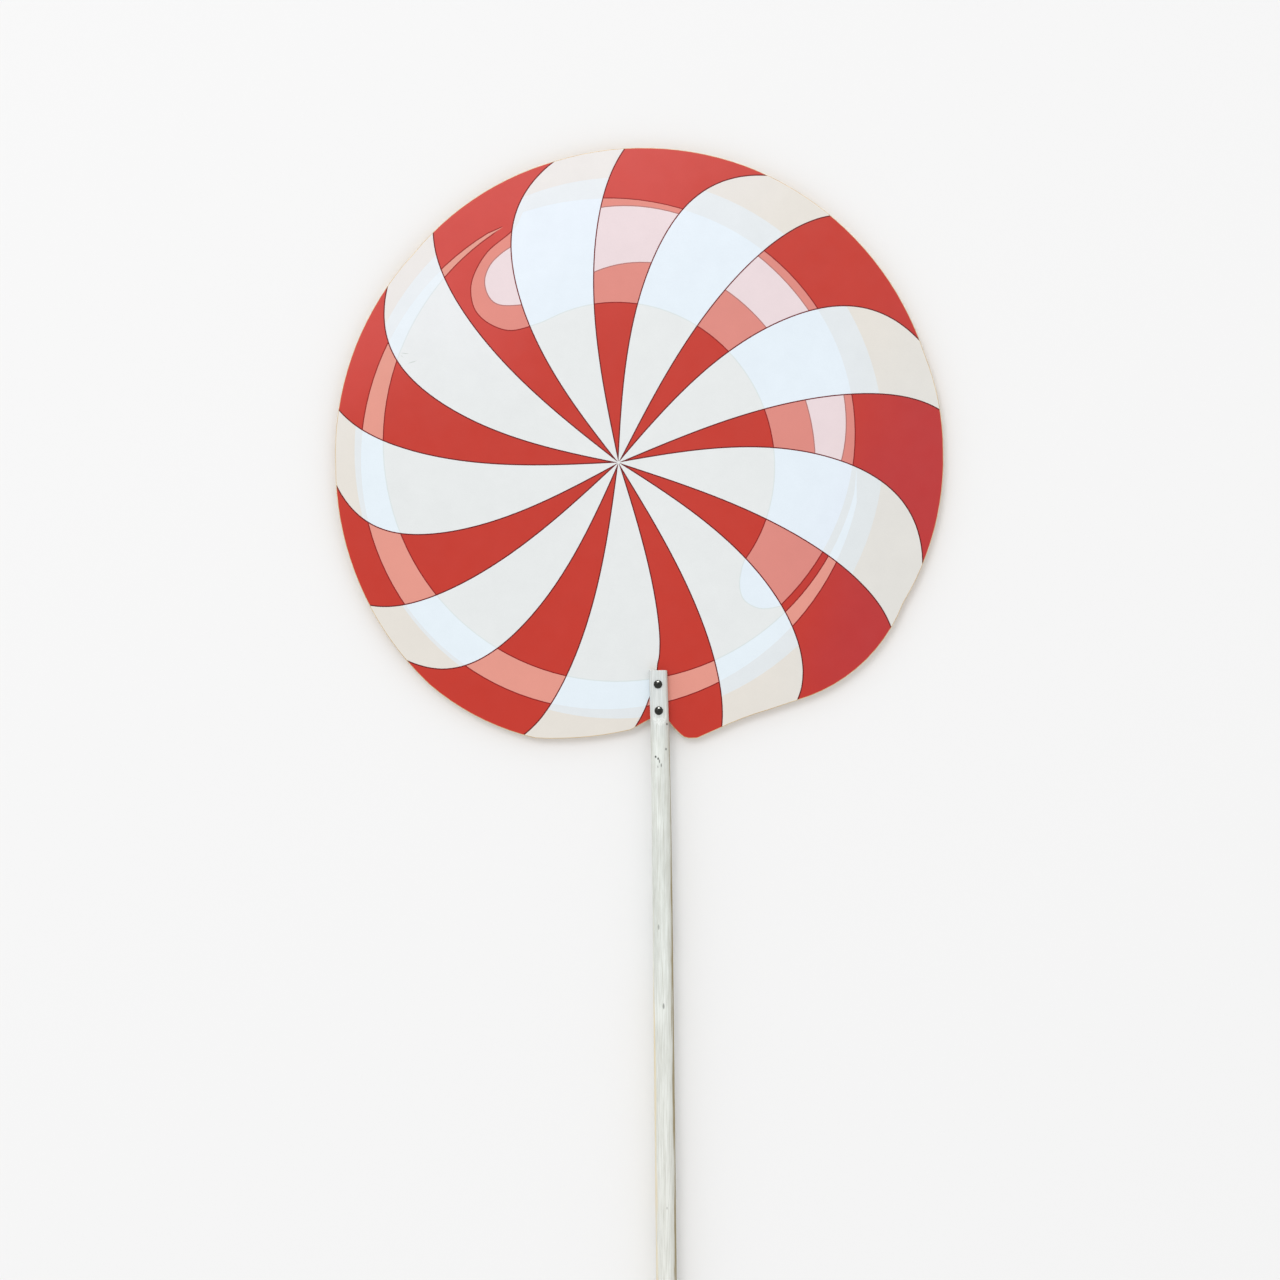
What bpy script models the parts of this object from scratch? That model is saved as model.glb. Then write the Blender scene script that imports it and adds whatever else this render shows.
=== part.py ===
"""A display board cut and printed as a big round swirl lollipop, lying on its back, face up.

The flat board is the sweet. A slim wooden pole is its stick: the pole's top end is planed flat and lies on
the board's face, held by two domed screws. +X is the board's right, +Y points away from the pole, +Z is up
out of the printed face. The origin is the centre of the board's main circle, on its back face.
"""

import math

import bmesh
import bpy
from mathutils import Matrix, Vector

MM = 0.001

# Driving dimensions, in metres.
BOARD_THICKNESS = 0.012
EASED_EDGE = 0.0006
POLE_LENGTH = 0.914
POLE_TOP_Y = -0.2204
GAP = 0.0003

# The hand-cut rim, anticlockwise from the right: x, y and the radius of the arc to the next corner, in
# millimetres. It is a circle of about 610, swollen at the lower left and lower right, flattened below and
# notched behind the pole. None is a straight run and a negative radius bows inward.
RIM = (
    (304.8, 0.0, 266.0),
    (285.6, 98.3, 302.0),
    (104.5, 287.1, 300.0),
    (-83.7, 291.8, 282.0),
    (-227.8, 198.0, 294.0),
    (-305.9, -14.0, 300.0),
    (-211.4, -234.8, 248.0),
    (-105.0, -288.4, 353.0),
    (-9.8, -280.2, None),
    (11.0, -269.0, None),
    (28.0, -270.5, 70.0),
    (40.5, -284.5, 12.0),
    (49.0, -288.6, None),
    (57.5, -288.4, None),
    (78.0, -279.3, -300.0),
    (128.0, -260.3, None),
    (170.0, -246.3, 160.0),
    (264.4, -152.6, 277.0),
)
RIM_STEP = 0.014

# The pole: how far down from its top end, its middle's x and its diameter there, in millimetres.
POLE_STATIONS = (
    (0.0, 18.1, 18.6),
    (70.0, 20.2, 18.9),
    (190.0, 22.1, 20.0),
    (330.0, 23.6, 20.6),
    (590.0, 26.4, 20.8),
    (POLE_LENGTH / MM, 29.9, 21.0),
)
POLE_SIDE_STEPS = 12
SEAT_DEPTH = 0.005
SEAT_LENGTH = 0.060
FLAT_DEPTH = 0.0036
FLAT_LENGTH = 0.047
FLAT_RUN_OUT = 0.008
POLE_TOP_RADIUS = POLE_STATIONS[0][2] / 2 * MM
POLE_AXIS_Z = BOARD_THICKNESS + GAP + POLE_TOP_RADIUS - SEAT_DEPTH
FLAT_Z = POLE_AXIS_Z + POLE_TOP_RADIUS - FLAT_DEPTH
POLE_ARRIS = 0.0005

# The screws: node name and the place of each head's middle.
SCREWS = (
    ("screw_upper", (0.0180, -0.2342)),
    ("screw_lower", (0.0188, -0.2606)),
)
HEAD_RADIUS = 0.00425
HEAD_HEIGHT = 0.0026
HEAD_RIM = 0.0005
SHANK_RADIUS = 0.0020
POINT_LENGTH = 0.0040
BOARD_LEFT_UNDER_HOLE = 0.0025
RECESS_WIDTH = 0.0011
RECESS_SPAN = 0.0044
RECESS_DEPTH = 0.0012
TURNED_STEPS = 24
DOME_STEPS = 6


def clear_scene():
    for obj in list(bpy.data.objects):
        bpy.data.objects.remove(obj, do_unlink=True)
    for group in list(bpy.data.collections):
        bpy.data.collections.remove(group)


def new_collection(name):
    group = bpy.data.collections.new(name)
    bpy.context.scene.collection.children.link(group)
    return group


def new_material(name, colour, roughness, metallic=0.0):
    material = bpy.data.materials.new(name)
    material.use_nodes = True
    shader = material.node_tree.nodes["Principled BSDF"]
    shader.inputs["Base Color"].default_value = (*colour, 1.0)
    shader.inputs["Roughness"].default_value = roughness
    shader.inputs["Metallic"].default_value = metallic
    return material


def mesh_object(name, mesh, group, material=None):
    obj = bpy.data.objects.new(name, mesh)
    group.objects.link(obj)
    if material:
        mesh.materials.append(material)
    return obj


def curve_to_mesh_object(curve_obj, name, group, material):
    """The curve's evaluated shape as a mesh object with its caps welded; the curve is removed."""
    bpy.context.view_layer.update()
    graph = bpy.context.evaluated_depsgraph_get()
    mesh = bpy.data.meshes.new_from_object(curve_obj.evaluated_get(graph))
    obj = mesh_object(name, mesh, group)
    obj.matrix_world = curve_obj.matrix_world.copy()
    bpy.data.objects.remove(curve_obj, do_unlink=True)
    work = bmesh.new()
    work.from_mesh(mesh)
    bmesh.ops.remove_doubles(work, verts=work.verts, dist=1e-6)
    bmesh.ops.recalc_face_normals(work, faces=work.faces)
    work.to_mesh(mesh)
    work.free()
    mesh.materials.clear()
    mesh.materials.append(material)
    return obj


def smooth(obj, sharp_degrees=30):
    obj.data.shade_smooth()
    obj.data.set_sharp_from_angle(angle=math.radians(sharp_degrees))


def cutter_object(name, work, group):
    mesh = bpy.data.meshes.new(name)
    work.to_mesh(mesh)
    work.free()
    cutter = mesh_object(name, mesh, group)
    cutter.hide_render = True
    cutter.display_type = "WIRE"
    return cutter


def box_cutter(name, low, high, group, lean=0.0):
    """A box, whose top may lean this far towards -Y."""
    work = bmesh.new()
    size = [top - bottom for bottom, top in zip(low, high)]
    middle = [(bottom + top) / 2 for bottom, top in zip(low, high)]
    place = Matrix.Translation(middle) @ Matrix.Diagonal((*size, 1.0))
    bmesh.ops.create_cube(work, size=1.0, matrix=place)
    for vert in work.verts:
        if vert.co.z > middle[2]:
            vert.co.y -= lean
    return cutter_object(name, work, group)


def rod_cutter(name, x, y, low, high, radius, group):
    work = bmesh.new()
    bmesh.ops.create_cone(
        work,
        cap_ends=True,
        segments=TURNED_STEPS,
        radius1=radius,
        radius2=radius,
        depth=high - low,
        matrix=Matrix.Translation((x, y, (low + high) / 2)),
    )
    return cutter_object(name, work, group)


def cut(obj, cutter):
    modifier = obj.modifiers.new("cut_" + cutter.name, "BOOLEAN")
    modifier.operation = "DIFFERENCE"
    modifier.solver = "EXACT"
    modifier.object = cutter


def arc_run(start, end, radius):
    """Points from start towards end, without end, along an arc that bows to the right of that way."""
    across = end - start
    if radius is None:
        return [start]
    half = across.length / 2
    outward = Vector((across.y, -across.x)).normalized() * math.copysign(1, radius)
    centre = (start + end) / 2 - outward * math.sqrt(radius**2 - half**2)
    turn = 2 * math.asin(half / abs(radius)) * math.copysign(1, radius)
    steps = max(2, math.ceil(abs(turn * radius) * MM / RIM_STEP))
    points = []
    for step in range(steps):
        swing = Matrix.Rotation(turn * step / steps, 2)
        points.append(centre + swing @ (start - centre))
    return points


def rim_points():
    points = []
    for number, (x, y, radius) in enumerate(RIM):
        next_x, next_y, _ = RIM[(number + 1) % len(RIM)]
        points += arc_run(Vector((x, y)), Vector((next_x, next_y)), radius)
    return [point * MM for point in points]


def make_board(group, cutters, material):
    """The rim's outline given its thickness, with eased edges and a blind hole for each screw."""
    curve = bpy.data.curves.new("rim", "CURVE")
    curve.dimensions = "2D"
    curve.fill_mode = "BOTH"
    curve.extrude = BOARD_THICKNESS / 2 - EASED_EDGE
    curve.bevel_depth = EASED_EDGE
    curve.bevel_resolution = 1
    curve.offset = -EASED_EDGE
    points = rim_points()
    spline = curve.splines.new("POLY")
    spline.points.add(len(points) - 1)
    for place, point in zip(spline.points, points):
        place.co = (point.x, point.y, 0.0, 1.0)
    spline.use_cyclic_u = True
    outline = bpy.data.objects.new("rim", curve)
    group.objects.link(outline)
    outline.location.z = BOARD_THICKNESS / 2
    board = curve_to_mesh_object(outline, "board", group, material)
    for name, (x, y) in SCREWS:
        hole = rod_cutter(
            "board_hole_" + name,
            x,
            y,
            BOARD_LEFT_UNDER_HOLE,
            2 * BOARD_THICKNESS,
            SHANK_RADIUS + GAP,
            cutters,
        )
        cut(board, hole)
    smooth(board)
    return board


def make_pole(group, cutters, material):
    """A slightly bent, slightly tapered round stick, with a seat for the board and a flat for the screws."""
    curve = bpy.data.curves.new("stick", "CURVE")
    curve.dimensions = "3D"
    curve.bevel_depth = 1.0
    curve.bevel_resolution = POLE_SIDE_STEPS
    curve.use_fill_caps = True
    curve.resolution_u = 3
    spline = curve.splines.new("BEZIER")
    spline.bezier_points.add(len(POLE_STATIONS) - 1)
    for knot, (down, x, diameter) in zip(spline.bezier_points, POLE_STATIONS):
        knot.co = (x * MM, POLE_TOP_Y - down * MM, POLE_AXIS_Z)
        knot.radius = diameter / 2 * MM
        knot.handle_left_type = "AUTO"
        knot.handle_right_type = "AUTO"
    stick = bpy.data.objects.new("stick", curve)
    group.objects.link(stick)
    pole = curve_to_mesh_object(stick, "pole", group, material)
    arris = pole.modifiers.new("arris", "BEVEL")
    arris.width = POLE_ARRIS
    arris.segments = 2
    arris.limit_method = "ANGLE"
    arris.angle_limit = math.radians(60)
    reach = 2 * POLE_TOP_RADIUS
    middle_x = POLE_STATIONS[0][1] * MM
    seat = box_cutter(
        "pole_seat",
        (middle_x - reach, POLE_TOP_Y - SEAT_LENGTH, -reach),
        (middle_x + reach, POLE_TOP_Y + reach, BOARD_THICKNESS + GAP),
        cutters,
    )
    flat = box_cutter(
        "pole_flat",
        (middle_x - reach, POLE_TOP_Y - FLAT_LENGTH, FLAT_Z),
        (middle_x + reach, POLE_TOP_Y + 2 * reach, FLAT_Z + 2 * FLAT_DEPTH),
        cutters,
        lean=2 * FLAT_RUN_OUT,
    )
    cut(pole, seat)
    cut(pole, flat)
    for name, (x, y) in SCREWS:
        hole = rod_cutter("pole_hole_" + name, x, y, 0.0, FLAT_Z + reach, SHANK_RADIUS + GAP, cutters)
        cut(pole, hole)
    smooth(pole)
    return pole


def screw_profile():
    """Radius and height from the dome's middle round the head, down the shank to the point."""
    head_bottom = FLAT_Z + GAP
    tip = BOARD_LEFT_UNDER_HOLE + GAP
    rise = HEAD_HEIGHT - HEAD_RIM
    dome_radius = (HEAD_RADIUS**2 + rise**2) / (2 * rise)
    half_angle = math.asin(HEAD_RADIUS / dome_radius)
    points = []
    for step in range(DOME_STEPS + 1):
        angle = half_angle * step / DOME_STEPS
        height = head_bottom + HEAD_HEIGHT - dome_radius * (1 - math.cos(angle))
        points.append((dome_radius * math.sin(angle), height))
    points += [
        (HEAD_RADIUS, head_bottom),
        (SHANK_RADIUS, head_bottom),
        (SHANK_RADIUS, tip + POINT_LENGTH),
        (0.0, tip),
    ]
    return points


def make_screw(name, x, y, profile, recess, group, material):
    """A turned screw with a domed head and a cross recess."""
    screw = mesh_object(name, profile, group)
    screw.location = (x, y, 0.0)
    if not profile.materials:
        profile.materials.append(material)
    turn = screw.modifiers.new("turn", "SCREW")
    turn.axis = "Z"
    turn.steps = TURNED_STEPS
    turn.render_steps = TURNED_STEPS
    turn.use_merge_vertices = True
    turn.merge_threshold = 0.00001
    for cutter in recess:
        cut(screw, cutter)
    return screw


def make_screws(group, cutters, material):
    profile = bpy.data.meshes.new("screw_profile")
    points = [(radius, 0.0, height) for radius, height in screw_profile()]
    profile.from_pydata(points, [(n, n + 1) for n in range(len(points) - 1)], [])
    top = FLAT_Z + GAP + HEAD_HEIGHT
    for name, (x, y) in SCREWS:
        recess = []
        for way, half_x, half_y in (
            ("across", RECESS_SPAN / 2, RECESS_WIDTH / 2),
            ("along", RECESS_WIDTH / 2, RECESS_SPAN / 2),
        ):
            low = (x - half_x, y - half_y, top - RECESS_DEPTH)
            high = (x + half_x, y + half_y, top + RECESS_DEPTH)
            recess.append(box_cutter(f"{name}_recess_{way}", low, high, cutters))
        make_screw(name, x, y, profile, recess, group, material)


def main():
    clear_scene()
    group = new_collection("lollipop_display_board")
    cutters = new_collection("cutters")
    cutters.hide_render = True
    printed = new_material("printed_board", (0.60, 0.10, 0.08), 0.45)
    whitewash = new_material("whitewashed_wood", (0.73, 0.77, 0.71), 0.75)
    steel = new_material("dark_steel", (0.05, 0.05, 0.05), 0.35, 1.0)
    make_board(group, cutters, printed)
    make_pole(group, cutters, whitewash)
    make_screws(group, cutters, steel)


main()
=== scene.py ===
"""The looks of a display board cut and printed as a big swirl lollipop, lying face up on a pale floor.

The printed face is one flat sheet of inks, each its own material: red and white stripes that curl out from
the swirl's middle, crossed by the fields of drawn gloss. The board's sides show its plies. The pole is worn
whitewashed wood, and the two screws are dark domed steel. +Y points away from the pole, +Z out of the print.
"""

import math

import bmesh
import bpy
import numpy as np
from mathutils import Matrix, Vector, geometry, noise


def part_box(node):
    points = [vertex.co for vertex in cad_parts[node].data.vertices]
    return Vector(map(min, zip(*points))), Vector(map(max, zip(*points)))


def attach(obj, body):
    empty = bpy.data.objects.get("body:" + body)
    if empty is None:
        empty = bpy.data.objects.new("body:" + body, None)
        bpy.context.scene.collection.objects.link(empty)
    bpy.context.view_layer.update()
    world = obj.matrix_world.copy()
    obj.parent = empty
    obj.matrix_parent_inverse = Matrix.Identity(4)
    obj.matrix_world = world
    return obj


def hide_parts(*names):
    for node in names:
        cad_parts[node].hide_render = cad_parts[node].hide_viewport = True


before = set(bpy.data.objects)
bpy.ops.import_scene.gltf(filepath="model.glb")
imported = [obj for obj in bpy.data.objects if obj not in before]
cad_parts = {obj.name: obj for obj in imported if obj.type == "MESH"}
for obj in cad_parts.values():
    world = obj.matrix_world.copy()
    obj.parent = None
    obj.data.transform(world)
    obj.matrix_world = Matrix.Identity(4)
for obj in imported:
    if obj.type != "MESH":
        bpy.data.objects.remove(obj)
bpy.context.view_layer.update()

MM = 0.001
# Vertices of the frame this close in height are on the same face.
SAME_LEVEL = 0.01 * MM

# Read from the frame: the board's box, its round part's radius and the levels of its two faces.
BOARD_LOW, BOARD_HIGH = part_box("board")
BOARD_RADIUS = (BOARD_HIGH.x - BOARD_LOW.x) / 2
FACE_Z = BOARD_HIGH.z
BACK_Z = BOARD_LOW.z
POLE_LOW, POLE_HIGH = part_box("pole")
SCREW_NODES = ("screw_upper", "screw_lower")

# The swirl, in shares of the board's radius and in degrees anticlockwise from +X. Each row is a red stripe,
# as its first edge's angle at the middle, how far that edge falls back on its way to the rim and how far it
# hooks back near the rim, then the same of its second edge. White fills up to the next row.
SWIRL_MIDDLE = (-0.071, -0.038)
STRIPES = (
    (10.0, 20.5, 8.0, 23.0, 11.5, 2.0),
    (49.5, 19.5, 8.0, 63.0, 11.5, 2.0),
    (87.0, 16.0, 8.5, 102.0, 11.5, 1.5),
    (128.0, 17.5, 8.5, 142.0, 11.0, 2.0),
    (168.5, 17.0, 9.0, 183.0, 11.5, 2.0),
    (208.5, 15.5, 8.5, 223.0, 11.0, 2.0),
    (246.0, 15.5, 7.5, 262.5, 10.0, 1.5),
    (287.5, 10.5, 3.5, 301.5, 9.0, 1.0),
    (327.5, 18.5, 2.0, 342.0, 11.0, 2.0),
)
CURL_POWER = 2.0
HOOK_POWER = 12.5
STRIPE_START = 0.0045
STRIPE_END = 1.03
STRIPE_STEPS = 64
# How far past the rim a stripe's outline is closed, as a share of its middle's distance.
STRIPE_OVERRUN = 0.2
KEYLINE = 1.2 * MM
ZONE_LINE = 1.1 * MM

# The drawn gloss, in shares of the board's radius. An oval is its middle, its two radii and the tilt of the
# first radius in degrees.
CRESCENT_OUTER = (-0.122, 0.043, 0.829, 0.786, 10.0)
CRESCENT_INNER = (-0.057, -0.031, 0.526, 0.497, 113.0)
WINDOW_OUTER = (0.097, 0.236, 0.496, 0.643, 47.0)
WINDOW_INNER = (0.087, 0.058, 0.468, 0.583, 25.0)
RING_OUTER = (-0.092, -0.006, 0.849, 0.819, 63.0)
RING_INNER = (-0.058, 0.047, 0.810, 0.784, 67.0)
RING_TIP = (0.712, -0.059)
MIDDLE_OVAL = (-0.068, 0.010, 0.891, 0.869, 75.0)
OVAL_STEP = 3.0

# The rounded ends that join the crescent's and the window's two ovals, clockwise.
CRESCENT_HEAD = (
    (-0.335, 0.421), (-0.421, 0.398), (-0.487, 0.416), (-0.536, 0.457),
    (-0.554, 0.513), (-0.546, 0.575), (-0.500, 0.654), (-0.417, 0.725),
)
CRESCENT_TAIL = (
    (0.454, -0.510), (0.395, -0.516), (0.345, -0.490), (0.329, -0.444), (0.335, -0.391),
)
WINDOW_HEAD = (
    (-0.290, 0.500), (-0.385, 0.483), (-0.460, 0.482), (-0.496, 0.509),
    (-0.509, 0.559), (-0.493, 0.608), (-0.460, 0.644), (-0.417, 0.674), (-0.300, 0.745),
)
WINDOW_TAIL = ((0.644, -0.161),)
# How the plain white's edge runs on, hidden under the crescent, from its tail to its head.
UNDER_CRESCENT = (
    (0.427, -0.293), (0.526, 0.036), (0.378, 0.464), (0.033, 0.661), (-0.312, 0.611), (-0.477, 0.546),
)

# Scuffs in the print: each end's place in shares of the board's radius, and the width in millimetres.
SCUFFS = (
    ((-0.787, 0.322), (-0.759, 0.320), 0.9),
    ((-0.763, 0.288), (-0.733, 0.297), 1.0),
    ((-0.789, 0.316), (-0.777, 0.307), 0.5),
)


def linear(colour):
    """An 8-bit screen colour as linear light."""
    shares = [value / 255 for value in colour]
    return [s / 12.92 if s <= 0.04045 else ((s + 0.055) / 1.055) ** 2.4 for s in shares]


# How bright a pure white surface that lies face up appears, and what its faint sheen adds, so that a colour
# can be named by how it looks.
STAGE_LIGHT = 1.07
SHEEN = 0.022


def paint(colour):
    """The surface colour that looks like this screen colour under the stage's light."""
    return (*[min(max(value - SHEEN, 0.0) / STAGE_LIGHT, 0.98) for value in linear(colour)], 1.0)


# ---------------------------------------------------------------- outlines


def board_place(share):
    return Vector((share[0] * BOARD_RADIUS, share[1] * BOARD_RADIUS))


def board_outline():
    """The corners of the board's upper face, anticlockwise, without those of the screw holes."""
    heads = [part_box(name) for name in SCREW_NODES]
    corners = set()
    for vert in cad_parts["board"].data.vertices:
        near_screw = any(
            (vert.co.xy - (low.xy + high.xy) / 2).length < (high.x - low.x) / 2 for low, high in heads
        )
        if vert.co.z > FACE_Z - SAME_LEVEL and not near_screw:
            corners.add((round(vert.co.x, 6), round(vert.co.y, 6)))
    return [Vector(corner) for corner in sorted(corners, key=lambda c: math.atan2(c[1], c[0]))]


def rim_distance(outline, angle):
    """How far the rim is from the swirl's middle in this direction."""
    start = board_place(SWIRL_MIDDLE)
    end = start + 2 * BOARD_RADIUS * Vector((math.cos(angle), math.sin(angle)))
    for number, corner in enumerate(outline):
        found = geometry.intersect_line_line_2d(start, end, outline[number - 1], corner)
        if found:
            return (found - start).length
    return BOARD_RADIUS


def stripe_edge(outline, base, curl, hook):
    """An edge of a stripe from near the swirl's middle to just past the rim."""
    points = []
    for step in range(STRIPE_STEPS + 1):
        share = STRIPE_START + (STRIPE_END - STRIPE_START) * math.sin(math.pi / 2 * step / STRIPE_STEPS)
        angle = math.radians(base - curl * share**CURL_POWER - hook * share**HOOK_POWER)
        away = share * rim_distance(outline, angle)
        points.append(board_place(SWIRL_MIDDLE) + away * Vector((math.cos(angle), math.sin(angle))))
    return points


def side_shifted(points, distance, closed=False):
    """The line moved to its left by this distance."""
    moved = []
    for number, point in enumerate(points):
        before = points[number - 1] if closed or number else point
        after = points[(number + 1) % len(points)] if closed or number + 1 < len(points) else point
        along = (after - before).normalized()
        moved.append(point + distance * Vector((-along.y, along.x)))
    return moved


def oval_point(oval, degrees):
    x, y, first, second, tilt = oval
    turn = math.radians(degrees - tilt)
    swing = Matrix.Rotation(math.radians(tilt), 2)
    spoke = Vector((first * math.cos(turn), second * math.sin(turn)))
    return board_place((x, y)) + BOARD_RADIUS * (swing @ spoke)


def oval_run(oval, start, end):
    """Points along an oval between two directions in degrees, clockwise when end is less than start."""
    steps = math.ceil(abs(end - start) / OVAL_STEP)
    return [oval_point(oval, start + (end - start) * step / steps) for step in range(steps + 1)]


def smooth_run(points, steps=6):
    """A smooth open curve through the points."""
    ends = [2 * points[0] - points[1], *points, 2 * points[-1] - points[-2]]
    curve = []
    for a, b, c, d in zip(ends, ends[1:], ends[2:], ends[3:]):
        square = 2 * a - 5 * b + 4 * c - d
        cube = 3 * b - a - 3 * c + d
        for step in range(steps):
            t = step / steps
            curve.append(0.5 * (2 * b + (c - a) * t + square * t**2 + cube * t**3))
    return curve + [points[-1]]


def between_ovals(outer, outer_from, outer_to, tail, inner, inner_from, inner_to, head):
    """A band's outline: out along one oval, round its tail, back along the other and round its head."""
    out = oval_run(outer, outer_from, outer_to)
    back = oval_run(inner, inner_from, inner_to)
    tail_run = smooth_run([out[-1], *[board_place(share) for share in tail], back[0]])
    head_run = smooth_run([back[-1], *[board_place(share) for share in head], out[0]])
    return out + tail_run[1:-1] + back + head_run[1:-1]


def gloss_outlines():
    """The outline of each field of drawn gloss, by name."""
    crescent = between_ovals(
        CRESCENT_OUTER, 109.0, -44.0, CRESCENT_TAIL, CRESCENT_INNER, -38.0, 116.0, CRESCENT_HEAD
    )
    window = between_ovals(
        WINDOW_OUTER, 140.0, -22.0, WINDOW_TAIL, WINDOW_INNER, -10.0, 122.0, WINDOW_HEAD
    )
    ring = oval_run(RING_OUTER, 120.5, 348.0) + [board_place(RING_TIP)] + oval_run(RING_INNER, 346.0, 120.5)
    plain = oval_run(RING_INNER, 119.0, 318.0) + [board_place(share) for share in UNDER_CRESCENT]
    middle = oval_run(MIDDLE_OVAL, 0.0, 360.0 - OVAL_STEP)
    return {"crescent": crescent, "window": window, "ring": ring, "plain": plain, "middle": middle}


def scuff_outline(start, end, width):
    """A thin lens."""
    start, end = board_place(start), board_place(end)
    side = (end - start).normalized().orthogonal() * width / 2 * MM
    return [start, start.lerp(end, 0.4) + side, end, start.lerp(end, 0.6) - side]


def inside(points, outline):
    """For each point, whether it is inside the outline, by the even-odd rule."""
    ring = np.array([tuple(p) for p in outline])
    after = np.roll(ring, -1, axis=0)
    x, y = points[:, :1], points[:, 1:]
    crosses = (ring[:, 1] > y) != (after[:, 1] > y)
    rise = np.where(after[:, 1] == ring[:, 1], 1.0, after[:, 1] - ring[:, 1])
    at = ring[:, 0] + (y - ring[:, 1]) / rise * (after[:, 0] - ring[:, 0])
    return (crosses & (x < at)).sum(axis=1) % 2 == 1


# ---------------------------------------------------------------- the board


def print_layout(outline):
    """Every outline of the print: red stripes, their keylines, the gloss, the lines round it, the scuffs."""
    reds, keylines = [], []
    for row in STRIPES:
        start = stripe_edge(outline, *row[:3])
        end = stripe_edge(outline, *row[3:])
        beyond = (start[-1] + end[-1]) / 2
        beyond += STRIPE_OVERRUN * (beyond - board_place(SWIRL_MIDDLE))
        reds.append([*start, beyond, *end[::-1]])
        keylines.append(start + side_shifted(start, KEYLINE)[::-1])
        keylines.append(end + side_shifted(end, -KEYLINE)[::-1])
    gloss = gloss_outlines()
    lines = [
        side_shifted(gloss["crescent"], ZONE_LINE, closed=True),
        side_shifted(gloss["ring"], -ZONE_LINE, closed=True),
    ]
    window_line = [side_shifted(gloss["window"], ZONE_LINE, closed=True)]
    scuffs = [scuff_outline(*row) for row in SCUFFS]
    layout = {name: [ring] for name, ring in gloss.items()}
    layout.update(red=reds, keyline=keylines, line=lines, window_line=window_line, scuff=scuffs)
    return layout


CUT_TOLERANCE = 1e-7


def cut_face(outline, layout):
    """The face cut along every outline: its corners and triangles inside the rim."""
    points, edges = [], []
    for ring in [outline, *[ring for rings in layout.values() for ring in rings]]:
        first = len(points)
        points += ring
        edges += [(first + n, first + (n + 1) % len(ring)) for n in range(len(ring))]
    corners, _, triangles, *_ = geometry.delaunay_2d_cdt(points, edges, [], 0, CUT_TOLERANCE, False)
    corners = np.array([tuple(c) for c in corners])
    triangles = np.array(triangles)
    kept = inside(corners[triangles].mean(axis=1), outline)
    return corners, triangles[kept]


def inks_of(middles, layout):
    """The name of the ink at each place."""
    within = {
        name: np.any([inside(middles, ring) for ring in rings], axis=0)
        for name, rings in layout.items()
    }
    white_fields = (
        ("scuff", within["scuff"]),
        ("ice", within["crescent"]),
        ("ring_ice", within["ring"]),
        ("white_line", within["line"] & within["plain"]),
        ("plain_white", within["plain"]),
        ("middle_white", within["middle"]),
    )
    red_fields = (
        ("keyline", within["keyline"]),
        ("pink", within["window"] & within["crescent"]),
        ("pink_line", within["window_line"] & within["crescent"]),
        ("salmon", within["crescent"]),
        ("ring_salmon", within["ring"]),
        ("gloss_line", within["line"]),
    )
    white = np.select([mask for _, mask in white_fields], [name for name, _ in white_fields], "rim_white")
    red = np.select([mask for _, mask in red_fields], [name for name, _ in red_fields], "red")
    return np.where(within["red"], red, white)


EASED_EDGE = 0.6 * MM
PLIES = 5
GLUE_LINE = 0.12 * MM
GLUE_DEPTH = 0.1 * MM


def wall_profile():
    """The board's side from its printed face down to its back: how far out, how high, and its material."""
    rows = []
    for step in range(1, 5):
        turn = math.pi / 2 * step / 4
        rows.append((EASED_EDGE * math.sin(turn), FACE_Z - EASED_EDGE * (1 - math.cos(turn)), "eased_edge"))
    ply = (FACE_Z - BACK_Z) / PLIES
    for number in range(PLIES):
        name = "ply_across" if number % 2 else "ply_along"
        bottom = FACE_Z - (number + 1) * ply
        if number == PLIES - 1:
            rows.append((EASED_EDGE, BACK_Z + EASED_EDGE, name))
            break
        rows.append((EASED_EDGE, bottom + GLUE_LINE, name))
        rows.append((EASED_EDGE - GLUE_DEPTH, bottom, "glue"))
        rows.append((EASED_EDGE, bottom - GLUE_LINE, "glue"))
    for step in range(1, 4):
        turn = math.pi / 2 * step / 3
        rows.append((EASED_EDGE * math.cos(turn), BACK_Z + EASED_EDGE * (1 - math.sin(turn)), "ply_along"))
    return rows


def boundary_loop(work):
    """The vertices round the face's rim, anticlockwise."""
    step = {}
    for edge in work.edges:
        if edge.is_boundary:
            loop = edge.link_loops[0]
            step[loop.vert] = loop.link_loop_next.vert
    start = next(iter(step))
    ring = [start]
    while step[ring[-1]] is not start:
        ring.append(step[ring[-1]])
    return ring


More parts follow.
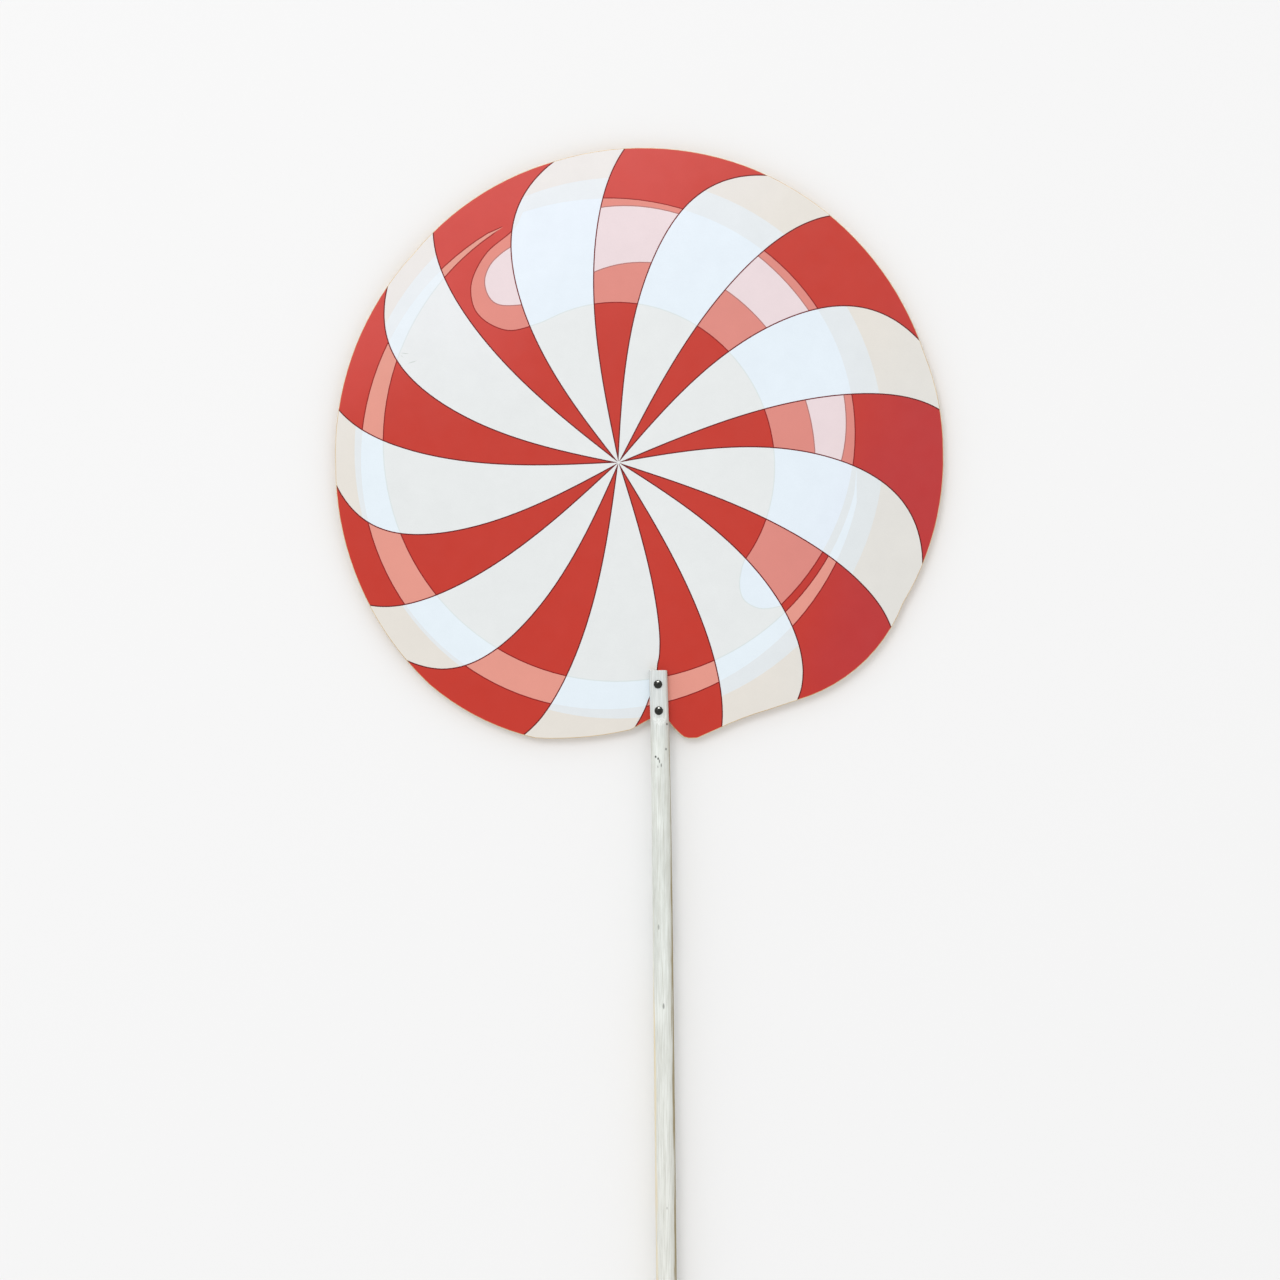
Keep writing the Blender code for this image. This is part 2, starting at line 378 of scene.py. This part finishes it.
def make_board(materials):
    """The whole board as one closed mesh."""
    names = list(materials)
    outline = board_outline()
    layout = print_layout(outline)
    corners, triangles = cut_face(outline, layout)
    inks = inks_of(corners[triangles].mean(axis=1), layout)
    work = bmesh.new()
    made = {}
    for triangle, ink in zip(triangles, inks):
        for corner in triangle:
            if corner not in made:
                made[corner] = work.verts.new((*corners[corner], FACE_Z))
        face = work.faces.new([made[corner] for corner in triangle])
        face.material_index = names.index(ink)
    bmesh.ops.recalc_face_normals(work, faces=work.faces)
    if work.faces[:][0].normal.z < 0:
        bmesh.ops.reverse_faces(work, faces=work.faces)
    ring = boundary_loop(work)
    flat = [vert.co.xy for vert in ring]
    outward = [(moved - point) for point, moved in zip(flat, side_shifted(flat, -1.0, closed=True))]
    above = ring
    for out, height, name in wall_profile():
        below = [work.verts.new((*(point + out * way), height)) for point, way in zip(flat, outward)]
        for number in range(len(ring)):
            after = (number + 1) % len(ring)
            wall = work.faces.new((above[number], below[number], below[after], above[after]))
            wall.material_index = names.index(name)
            wall.smooth = True
        above = below
    back = work.faces.new(above[::-1])
    back.material_index = names.index("back_wood")
    bmesh.ops.triangulate(work, faces=[back])
    bmesh.ops.recalc_face_normals(work, faces=work.faces)
    mesh = bpy.data.meshes.new("board_print")
    work.to_mesh(mesh)
    work.free()
    for material in materials.values():
        mesh.materials.append(material)
    board = bpy.data.objects.new("printed_board", mesh)
    bpy.context.scene.collection.objects.link(board)
    return board


# ---------------------------------------------------------------- the pole

POLE_AROUND = 96
POLE_STEP = 1.6 * MM
POLE_ARRIS = 0.5 * MM
FLAT_RUN_OUT = 8 * MM
STATION_STEP = 12 * MM
GRAIN_DEPTH = 0.10 * MM
HAND_WORK = 0.16 * MM
# How tight the noise of the grain and of the hand work is, round the pole and along it, and what keeps the
# two apart.
STREAKS_ROUND = 9
STREAKS_ALONG = 22
LUMPS_ROUND = 1.1
LUMPS_ALONG = 11
LUMPS_APART = 7
# The share of that unevenness that the planed flat has.
FLAT_WEAR = 0.25
# The part below the pole's top end that holds its flat and its seat.
TOP_PART = 20 * MM
SHARP_ANGLE = 35.0


def cut_across(node, y):
    """Where the node's edges cross this y: an array of x and z."""
    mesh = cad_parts[node].data
    places = np.array([tuple(v.co) for v in mesh.vertices])
    ends = places[np.array([tuple(e.vertices) for e in mesh.edges])]
    crossing = ends[(ends[:, 0, 1] - y) * (ends[:, 1, 1] - y) < 0]
    share = (y - crossing[:, 0, 1]) / (crossing[:, 1, 1] - crossing[:, 0, 1])
    return (crossing[:, 0] + share[:, None] * (crossing[:, 1] - crossing[:, 0]))[:, [0, 2]]


def pole_shape():
    """The pole read from the frame: its stations' y, middle and radius, its axis' height, flat and seat."""
    inset = POLE_ARRIS * 2
    count = math.ceil((POLE_HIGH.y - POLE_LOW.y) / STATION_STEP)
    ys = np.linspace(POLE_LOW.y + inset, POLE_HIGH.y - inset, count)
    cuts = [cut_across("pole", y) for y in ys]
    middles = np.array([(c[:, 0].max() + c[:, 0].min()) / 2 for c in cuts])
    radii = np.array([(c[:, 0].max() - c[:, 0].min()) / 2 for c in cuts])
    axis = (cuts[0][:, 1].max() + cuts[0][:, 1].min()) / 2
    places = np.array([tuple(v.co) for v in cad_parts["pole"].data.vertices])
    top = places[places[:, 1] > POLE_HIGH.y - TOP_PART]
    flat, seat = top[:, 2].max(), top[:, 2].min()
    flat_end = places[abs(places[:, 2] - flat) < SAME_LEVEL][:, 1].min()
    seat_end = places[abs(places[:, 2] - seat) < SAME_LEVEL][:, 1].min()
    return {
        "ys": ys, "middles": middles, "radii": radii, "axis": axis,
        "flat": flat, "flat_end": flat_end, "seat": seat, "seat_end": seat_end,
    }


def pole_ring(shape, y, shrink):
    """One ring of the pole at y, drawn in by shrink, as places from its front clockwise to its front."""
    middle = float(np.interp(y, shape["ys"], shape["middles"]))
    radius = float(np.interp(y, shape["ys"], shape["radii"])) - shrink
    ceiling = shape["flat"] - shrink + max(0.0, shape["flat_end"] - y) * (
        (shape["axis"] + radius - shape["flat"]) / FLAT_RUN_OUT
    )
    floor = shape["seat"] + shrink if y > shape["seat_end"] else -1.0
    places = []
    for step in range(POLE_AROUND):
        turn = 2 * math.pi * step / POLE_AROUND
        spot = Vector((math.sin(turn), math.cos(turn)))
        streak = noise.noise(Vector((spot.x * STREAKS_ROUND, y * STREAKS_ALONG, spot.y * STREAKS_ROUND)))
        lump_place = (spot.x * LUMPS_ROUND, y * LUMPS_ALONG, spot.y * LUMPS_ROUND + LUMPS_APART)
        lump = noise.noise(Vector(lump_place))
        worn = GRAIN_DEPTH * (0.5 + 0.5 * streak) + HAND_WORK * (0.5 + 0.5 * lump)
        x = middle + (radius - worn) * spot.x
        z = shape["axis"] + (radius - worn) * spot.y
        if z > ceiling:
            z = ceiling - FLAT_WEAR * worn
        places.append((x, y, max(z, floor)))
    return places


def make_pole(paint_material, end_material):
    """The pole as a fine loft along its stations, with its flat, its seat and its two sawn ends."""
    shape = pole_shape()
    work = bmesh.new()
    side = work.verts.layers.float.new("across")
    steps = math.ceil((POLE_HIGH.y - POLE_LOW.y) / POLE_STEP)
    inner = np.linspace(POLE_LOW.y + POLE_ARRIS, POLE_HIGH.y - POLE_ARRIS, steps)
    eased = [(POLE_ARRIS * (1 - math.cos(t)), POLE_ARRIS * (1 - math.sin(t))) for t in (0.0, 0.5, 1.0)]
    rows = [(POLE_LOW.y + rise, shrink) for rise, shrink in eased]
    rows += [(float(y), 0.0) for y in inner]
    rows += [(POLE_HIGH.y - rise, shrink) for rise, shrink in reversed(eased)]
    rings = []
    for y, shrink in rows:
        ring = [work.verts.new(place) for place in pole_ring(shape, y, shrink)]
        for step, vert in enumerate(ring):
            vert[side] = math.sin(2 * math.pi * step / POLE_AROUND)
        rings.append(ring)
    for near, far in zip(rings, rings[1:]):
        for step in range(POLE_AROUND):
            after = (step + 1) % POLE_AROUND
            work.faces.new((near[step], near[after], far[after], far[step])).smooth = True
    for ring in (rings[0], rings[-1]):
        cap = work.faces.new(ring)
        cap.material_index = 1
    bmesh.ops.recalc_face_normals(work, faces=work.faces)
    mesh = bpy.data.meshes.new("pole_wood")
    work.to_mesh(mesh)
    work.free()
    mesh.set_sharp_from_angle(angle=math.radians(SHARP_ANGLE))
    mesh.materials.append(paint_material)
    mesh.materials.append(end_material)
    pole = bpy.data.objects.new("whitewashed_pole", mesh)
    bpy.context.scene.collection.objects.link(pole)
    return pole


# ---------------------------------------------------------------- materials


class Nodes:
    """A material's node tree with short ways to add to it."""

    def __init__(self, name):
        self.material = bpy.data.materials.new(name)
        self.material.use_nodes = True
        self.tree = self.material.node_tree
        self.shader = self.tree.nodes["Principled BSDF"]

    def add(self, kind, **settings):
        node = self.tree.nodes.new("ShaderNode" + kind)
        for name, value in settings.items():
            setattr(node, name, value)
        return node

    def link(self, source, target):
        self.tree.links.new(source, target)

    def place(self):
        return self.add("TexCoord").outputs["Object"]

    def scaled(self, vector, scale):
        """The vector with each part times its scale."""
        node = self.add("VectorMath", operation="MULTIPLY")
        self.link(vector, node.inputs[0])
        node.inputs[1].default_value = scale
        return node.outputs["Vector"]

    def noise(self, vector, scale, detail=3.0, roughness=0.55):
        node = self.add("TexNoise")
        node.inputs["Scale"].default_value = scale
        node.inputs["Detail"].default_value = detail
        node.inputs["Roughness"].default_value = roughness
        self.link(vector, node.inputs["Vector"])
        return node.outputs["Fac"]

    def ranged(self, value, low, high, to_low=0.0, to_high=1.0, smooth=False):
        node = self.add("MapRange", interpolation_type="SMOOTHSTEP" if smooth else "LINEAR")
        for name, number in (("From Min", low), ("From Max", high), ("To Min", to_low), ("To Max", to_high)):
            node.inputs[name].default_value = number
        self.link(value, node.inputs["Value"])
        return node.outputs["Result"]

    def math(self, operation, first, second=0.0):
        node = self.add("Math", operation=operation)
        for socket, value in zip(node.inputs, (first, second)):
            if isinstance(value, (int, float)):
                socket.default_value = value
            else:
                self.link(value, socket)
        return node.outputs["Value"]

    def mixed(self, factor, first, second, blend="MIX"):
        """Two colours, each a socket or RGBA, mixed by the factor."""
        node = self.add("Mix", data_type="RGBA", blend_type=blend)
        for socket, value in ((node.inputs[0], factor), (node.inputs[6], first), (node.inputs[7], second)):
            if isinstance(value, (int, float, tuple)):
                socket.default_value = value
            else:
                self.link(value, socket)
        return node.outputs[2]

    def along(self, vector, direction):
        """How far along a direction the place lies."""
        node = self.add("VectorMath", operation="DOT_PRODUCT")
        self.link(vector, node.inputs[0])
        node.inputs[1].default_value = direction
        return node.outputs["Value"]

    def bump(self, height, distance, strength=1.0):
        node = self.add("Bump")
        node.inputs["Strength"].default_value = strength
        node.inputs["Distance"].default_value = distance
        self.link(height, node.inputs["Height"])
        self.link(node.outputs["Normal"], self.shader.inputs["Normal"])

    def gloss(self, roughness, specular):
        self.shader.inputs["Specular IOR Level"].default_value = specular
        if isinstance(roughness, float):
            self.shader.inputs["Roughness"].default_value = roughness
        else:
            self.link(roughness, self.shader.inputs["Roughness"])


# The directions in which painted light brightens the print (upper left) and painted shade darkens it
# (right), and the clouds and speckles in every ink.
UPPER_LEFT = (-0.45 / BOARD_RADIUS, 0.89 / BOARD_RADIUS, 0.0)
RIGHT = (0.97 / BOARD_RADIUS, -0.24 / BOARD_RADIUS, 0.0)
CLOUDS = 0.015
SPECKLES = 0.010


def ink(name, colour, lit, dim):
    """A printed ink: its usual colour, and that colour with painted light at the upper left and painted
    shade at the right.
    """
    nodes = Nodes(name)
    place = nodes.place()
    upper_left = nodes.along(place, UPPER_LEFT)
    right = nodes.along(place, RIGHT)
    wander = nodes.ranged(nodes.noise(place, 6.0, 2.0), 0.3, 0.7, -0.12, 0.12)
    # Painted light makes the ink paler towards the upper left; painted shade makes it darker towards the
    # right.
    painted_light = nodes.ranged(nodes.math("ADD", upper_left, wander), 0.30, 1.0, smooth=True)
    painted_shade = nodes.ranged(nodes.math("ADD", right, wander), 0.45, 1.0, smooth=True)
    base = nodes.mixed(painted_light, paint(colour), paint(lit))
    base = nodes.mixed(painted_shade, base, paint(dim))
    cloud = nodes.ranged(nodes.noise(place, 45.0, 4.0, 0.6), 0.3, 0.7, 1 - CLOUDS, 1 + CLOUDS)
    speckle = nodes.ranged(nodes.noise(place, 900.0, 2.0), 0.3, 0.7, 1 - SPECKLES, 1 + SPECKLES)
    tone = nodes.add("CombineColor")
    for socket in tone.inputs:
        nodes.link(nodes.math("MULTIPLY", cloud, speckle), socket)
    base = nodes.mixed(1.0, base, tone.outputs[0], "MULTIPLY")
    nodes.link(base, nodes.shader.inputs["Base Color"])
    nodes.gloss(nodes.ranged(nodes.noise(place, 60.0), 0.3, 0.7, 0.46, 0.54), 0.12)
    nodes.bump(nodes.noise(place, 420.0, 2.0), 0.02 * MM, 0.5)
    return nodes.material


def ply(name, light, dark, scale):
    """Bare ply wood: streaks run the way that the scale is small."""
    nodes = Nodes(name)
    place = nodes.place()
    grain = nodes.noise(nodes.scaled(place, scale), 1.0, 5.0, 0.6)
    base = nodes.mixed(nodes.ranged(grain, 0.3, 0.7), paint(light), paint(dark))
    nodes.link(base, nodes.shader.inputs["Base Color"])
    nodes.gloss(0.72, 0.3)
    nodes.bump(grain, 0.12 * MM, 0.6)
    return nodes.material


def board_materials():
    """Every material of the board by the name that the layout and the wall's profile use."""
    return {
        # In each ink the second colour is painted light at the upper left, and the third is painted shade at
        # the right.
        "red": ink("ink_red", (199, 66, 56), (213, 84, 78), (190, 65, 65)),
        "keyline": ink("ink_keyline", (112, 26, 32), (122, 34, 38), (106, 26, 32)),
        "gloss_line": ink("ink_gloss_line", (146, 42, 36), (160, 52, 48), (142, 42, 42)),
        "pink_line": ink("ink_pink_line", (184, 124, 118), (188, 130, 124), (180, 122, 116)),
        "white_line": ink("ink_white_line", (222, 230, 230), (226, 233, 235), (220, 228, 228)),
        "salmon": ink("ink_salmon", (223, 142, 132), (231, 146, 134), (218, 137, 130)),
        "ring_salmon": ink("ink_ring_salmon", (231, 156, 142), (230, 160, 145), (229, 154, 142)),
        "pink": ink("ink_pink", (235, 218, 221), (239, 221, 224), (230, 213, 214)),
        "plain_white": ink("ink_plain_white", (232, 235, 235), (237, 239, 241), (229, 233, 233)),
        "ice": ink("ink_ice", (231, 241, 249), (236, 244, 253), (229, 237, 247)),
        "ring_ice": ink("ink_ring_ice", (232, 242, 249), (236, 243, 249), (231, 240, 247)),
        "middle_white": ink("ink_middle_white", (229, 234, 237), (236, 240, 244), (226, 231, 233)),
        "rim_white": ink("ink_rim_white", (231, 226, 218), (238, 234, 232), (227, 225, 220)),
        "scuff": ink("ink_scuff", (205, 212, 208), (205, 212, 208), (205, 212, 208)),
        "eased_edge": ply("ply_eased_edge", (226, 203, 160), (206, 176, 130), (60, 60, 300)),
        "ply_along": ply("ply_along", (222, 196, 152), (200, 168, 122), (40, 40, 900)),
        "ply_across": ply("ply_across", (186, 148, 104), (158, 120, 80), (700, 700, 700)),
        "glue": ply("ply_glue", (120, 86, 58), (96, 66, 42), (300, 300, 300)),
        "back_wood": ply("ply_back", (224, 200, 160), (205, 174, 130), (130, 5, 20)),
    }


# Marks on the pole: how far down from its top, how far across (-1 left to 1 right), half the length and half
# the width, and how strong. All but the second and the last are in millimetres.
POLE_MARKS = (
    (86.6, -0.52, 1.3, 1.1, 0.95),
    (88.4, -0.26, 1.4, 1.0, 0.95),
    (91.0, -0.12, 2.2, 0.6, 0.80),
    (95.0, 0.06, 2.2, 0.6, 0.80),
    (96.5, -0.30, 1.4, 0.5, 0.60),
    (78.9, 0.60, 1.5, 1.0, 0.70),
    (53.9, 0.78, 1.4, 0.9, 0.90),
    (257.0, -0.42, 3.0, 0.9, 0.45),
    (336.0, 0.00, 3.2, 1.0, 0.60),
    (538.0, 0.12, 1.6, 0.7, 0.35),
)


# About how far the pole's sides are from its middle, in millimetres.
POLE_HALF_WIDTH = 10


def mark_mask(nodes, place, across, marks):
    """Each mark's strength at its middle, falling to 0 at its edge, and 0 on the pole's back half."""
    split = nodes.add("SeparateXYZ")
    nodes.link(place, split.inputs[0])
    found = 0.0
    for down, side, half_length, half_width, strength in marks:
        y = POLE_HIGH.y - down * MM
        lengthwise = nodes.math("SUBTRACT", split.outputs["Y"], y)
        lengthwise = nodes.math("MULTIPLY", lengthwise, 1 / (half_length * MM))
        sideways = nodes.math("SUBTRACT", across, side)
        sideways = nodes.math("MULTIPLY", sideways, POLE_HALF_WIDTH / half_width)
        squares = nodes.math("POWER", lengthwise, 2.0)
        squares = nodes.math("ADD", squares, nodes.math("POWER", sideways, 2.0))
        mask = nodes.ranged(squares, 0.2, 1.3, strength, 0.0, smooth=True)
        found = nodes.math("MAXIMUM", mask, found)
    axis = (POLE_LOW.z + POLE_HIGH.z) / 2
    return nodes.math("MULTIPLY", found, nodes.ranged(split.outputs["Z"], axis, axis + MM))


# The paint's tone and the bare strips change over this much of the pole, from its top down.
WORN_LENGTH = 0.6


def whitewash():
    """Thin worn white paint, paler further down and with painted shade on its right side, over wood that
    shows along both sides and in the marks.
    """
    nodes = Nodes("worn_whitewash")
    place = nodes.place()
    across = nodes.add("Attribute", attribute_name="across").outputs["Fac"]
    streaks = nodes.noise(nodes.scaled(place, (620.0, 16.0, 620.0)), 1.0, 5.0, 0.62)
    threads = nodes.noise(nodes.scaled(place, (1700.0, 28.0, 1700.0)), 1.0, 4.0, 0.65)
    patches = nodes.noise(nodes.scaled(place, (110.0, 22.0, 110.0)), 1.0, 4.0, 0.6)
    fine = nodes.noise(nodes.scaled(place, (1800.0, 260.0, 1800.0)), 1.0, 3.0, 0.6)
    down = nodes.ranged(nodes.along(place, (0.0, 1.0, 0.0)), POLE_HIGH.y, POLE_HIGH.y - WORN_LENGTH)
    base = nodes.mixed(nodes.ranged(patches, 0.38, 0.60), paint((220, 224, 218)), paint((238, 243, 238)))
    base = nodes.mixed(nodes.ranged(streaks, 0.46, 0.72, 0.0, 0.7), base, paint((208, 210, 200)))
    base = nodes.mixed(nodes.ranged(down, 0.45, 0.85, 0.0, 0.65), base, paint((236, 236, 229)))
    base = nodes.mixed(nodes.ranged(down, 0.04, 0.12, 0.8, 0.0), base, paint((214, 220, 221)))
    base = nodes.mixed(nodes.ranged(threads, 0.48, 0.66, 0.0, 0.65), base, paint((188, 188, 178)))
    base = nodes.mixed(nodes.ranged(threads, 0.46, 0.30, 0.0, 0.75), base, paint((247, 248, 245)))
    # Painted shade: the pole's right side darker, as if the light came from the left.
    painted_right_shade = nodes.ranged(across, 0.25, 0.85, 0.0, 0.40, smooth=True)
    base = nodes.mixed(painted_right_shade, base, paint((194, 193, 181)))
    ragged = nodes.ranged(streaks, 0.3, 0.7, -0.14, 0.14)
    right = nodes.math("ADD", across, ragged)
    right = nodes.math("ADD", right, nodes.ranged(down, 0.1, 0.4, -0.14, 0.04))
    right = nodes.ranged(right, 0.80, 0.93, smooth=True)
    left = nodes.math("SUBTRACT", ragged, across)
    left = nodes.math("ADD", left, nodes.ranged(down, 0.3, 0.6, -0.30, 0.02))
    left = nodes.ranged(left, 0.82, 0.95, smooth=True)
    base = nodes.mixed(left, base, paint((234, 221, 190)))
    base = nodes.mixed(right, base, paint((158, 145, 114)))
    marks = mark_mask(nodes, place, across, POLE_MARKS)
    base = nodes.mixed(marks, base, paint((62, 66, 58)))
    nodes.link(base, nodes.shader.inputs["Base Color"])
    nodes.gloss(nodes.ranged(streaks, 0.3, 0.7, 0.58, 0.78), 0.25)
    height = nodes.math("ADD", nodes.math("MULTIPLY", streaks, 0.6), nodes.math("MULTIPLY", fine, 0.4))
    height = nodes.math("SUBTRACT", height, nodes.math("MULTIPLY", marks, 1.5))
    nodes.bump(height, 0.25 * MM, 0.7)
    return nodes.material


def sawn_end():
    """End grain: rings round the pole's axis."""
    nodes = Nodes("pole_sawn_end")
    rings = nodes.add("TexWave", wave_type="RINGS", rings_direction="Y")
    rings.inputs["Scale"].default_value = 180.0
    rings.inputs["Distortion"].default_value = 2.5
    rings.inputs["Detail"].default_value = 3.0
    nodes.link(nodes.place(), rings.inputs["Vector"])
    base = nodes.mixed(rings.outputs["Fac"], paint((214, 196, 158)), paint((180, 152, 108)))
    nodes.link(base, nodes.shader.inputs["Base Color"])
    nodes.gloss(0.8, 0.25)
    nodes.bump(rings.outputs["Fac"], 0.1 * MM, 0.5)
    return nodes.material


def dark_steel():
    """Nearly black screws with a little wear."""
    nodes = Nodes("dark_screw_steel")
    place = nodes.place()
    wear = nodes.noise(place, 900.0, 4.0)
    blackened = (0.014, 0.015, 0.012, 1.0)
    rubbed = (0.050, 0.046, 0.036, 1.0)
    base = nodes.mixed(nodes.ranged(wear, 0.50, 0.75), blackened, rubbed)
    nodes.link(base, nodes.shader.inputs["Base Color"])
    nodes.shader.inputs["Metallic"].default_value = 0.5
    nodes.gloss(nodes.ranged(wear, 0.3, 0.7, 0.14, 0.24), 0.5)
    nodes.bump(wear, 0.03 * MM, 0.5)
    return nodes.material


# ---------------------------------------------------------------- the stage

# The width that the picture takes in, and its middle in shares of the board's radius.
PICTURE_WIDTH = 2.104 * 2 * BOARD_RADIUS
PICTURE_MIDDLE = (0.0, -0.6213)
LENS = 100.0
SENSOR = 36.0
FLOOR_REACH = 12.0
FLOOR_GAP = 0.3 * MM
WORLD_STRENGTH = 0.91

# Each disk light's place, the place that it faces, its size in metres and its power in watts.
KEY_LIGHT = ((-2.6, 3.4, 8.0), (0.0, -0.3, 0.0), 4.0, 160.0)
SCREW_GLINT = ((0.0, 2.35, 1.5), (0.0, -0.25, 0.0), 1.9, 560.0)


def make_floor():
    mesh = bpy.data.meshes.new("floor")
    work = bmesh.new()
    bmesh.ops.create_grid(work, x_segments=2, y_segments=2, size=FLOOR_REACH)
    work.to_mesh(mesh)
    work.free()
    floor = bpy.data.objects.new("floor", mesh)
    floor.location.z = BACK_Z - FLOOR_GAP
    bpy.context.scene.collection.objects.link(floor)
    nodes = Nodes("pale_floor")
    nodes.shader.inputs["Base Color"].default_value = paint((249, 249, 249))
    nodes.gloss(0.9, 0.0)
    mesh.materials.append(nodes.material)


def make_light(name, place, aim, size, power):
    data = bpy.data.lights.new(name, "AREA")
    data.shape = "DISK"
    data.size = size
    data.energy = power
    lamp = bpy.data.objects.new(name, data)
    lamp.location = place
    lamp.rotation_euler = (Vector(aim) - Vector(place)).to_track_quat("-Z", "Y").to_euler()
    bpy.context.scene.collection.objects.link(lamp)
    return lamp


def make_world(strength):
    world = bpy.data.worlds.new("studio")
    world.use_nodes = True
    background = world.node_tree.nodes["Background"]
    background.inputs["Color"].default_value = (1.0, 1.0, 1.0, 1.0)
    background.inputs["Strength"].default_value = strength
    bpy.context.scene.world = world


def make_camera():
    """Straight above, so that the picture is the board seen from the front."""
    data = bpy.data.cameras.new("camera")
    data.lens = LENS
    data.sensor_width = SENSOR
    camera = bpy.data.objects.new("camera", data)
    middle = board_place(PICTURE_MIDDLE)
    camera.location = (middle.x, middle.y, FACE_Z + PICTURE_WIDTH * LENS / SENSOR)
    bpy.context.scene.collection.objects.link(camera)
    bpy.context.scene.camera = camera


def make_stage():
    bpy.context.scene.view_settings.view_transform = "Standard"
    make_floor()
    make_world(WORLD_STRENGTH)
    make_light("key", *KEY_LIGHT)
    glint = make_light("screw_glint", *SCREW_GLINT)
    # It only shows in reflections, as the white spot near the top of each screw.
    glint.visible_diffuse = False
    make_camera()


def main():
    board = make_board(board_materials())
    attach(board, "root")
    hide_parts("board")
    pole = make_pole(whitewash(), sawn_end())
    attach(pole, "root")
    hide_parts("pole")
    steel = dark_steel()
    for name in SCREW_NODES:
        for material_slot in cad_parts[name].material_slots:
            material_slot.material = steel
    make_stage()


main()
